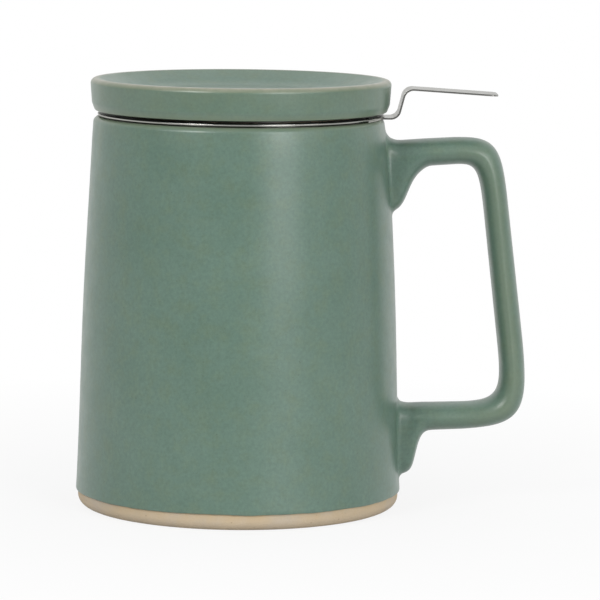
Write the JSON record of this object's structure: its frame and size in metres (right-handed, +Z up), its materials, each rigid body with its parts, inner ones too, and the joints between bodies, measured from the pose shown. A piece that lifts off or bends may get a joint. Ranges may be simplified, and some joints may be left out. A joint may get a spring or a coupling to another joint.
{
  "type": "infuser_mug",
  "caption": "Sage-green glazed stoneware mug with a square strap handle, a loose dished lid and a lift-out steel tea infuser with a bent finger tab",
  "frame": {"origin": "centre of the foot ring on the table", "axes": "+Z up through the lid, +X out through the handle and the infuser tab, +Y to the far side of the picture"},
  "size_m": [0.1318, 0.0952, 0.1252],
  "materials": {
    "sage_glaze": "satin sage-green glaze with fine specks, breaking to warm tan on the edges",
    "bare_stoneware": "unglazed fired stoneware, sandy and dry",
    "satin_steel": "satin stainless sheet",
    "steel_gauze": "fine woven stainless wire cloth"
  },
  "bodies": {
    "mug": {"mug_body": "bare_stoneware", "mug_glaze": "sage_glaze", "handle": "sage_glaze"},
    "infuser": {"infuser_rim": "satin_steel", "infuser_tab": "satin_steel", "tab_spot_welds": "satin_steel", "infuser_sleeve": "satin_steel", "infuser_gauze": "steel_gauze", "infuser_base": "satin_steel"},
    "lid": {"lid": "bare_stoneware", "lid_glaze": "sage_glaze"}
  },
  "joints": [
    {"name": "infuser_lift", "type": "slide", "parent": "mug", "child": "infuser", "axis": [0, 0, 1], "range_m": [0, 0.1]},
    {"name": "lid_lift", "type": "slide", "parent": "infuser", "child": "lid", "axis": [0, 0, 1], "range_m": [0, 0.05]}
  ]
}
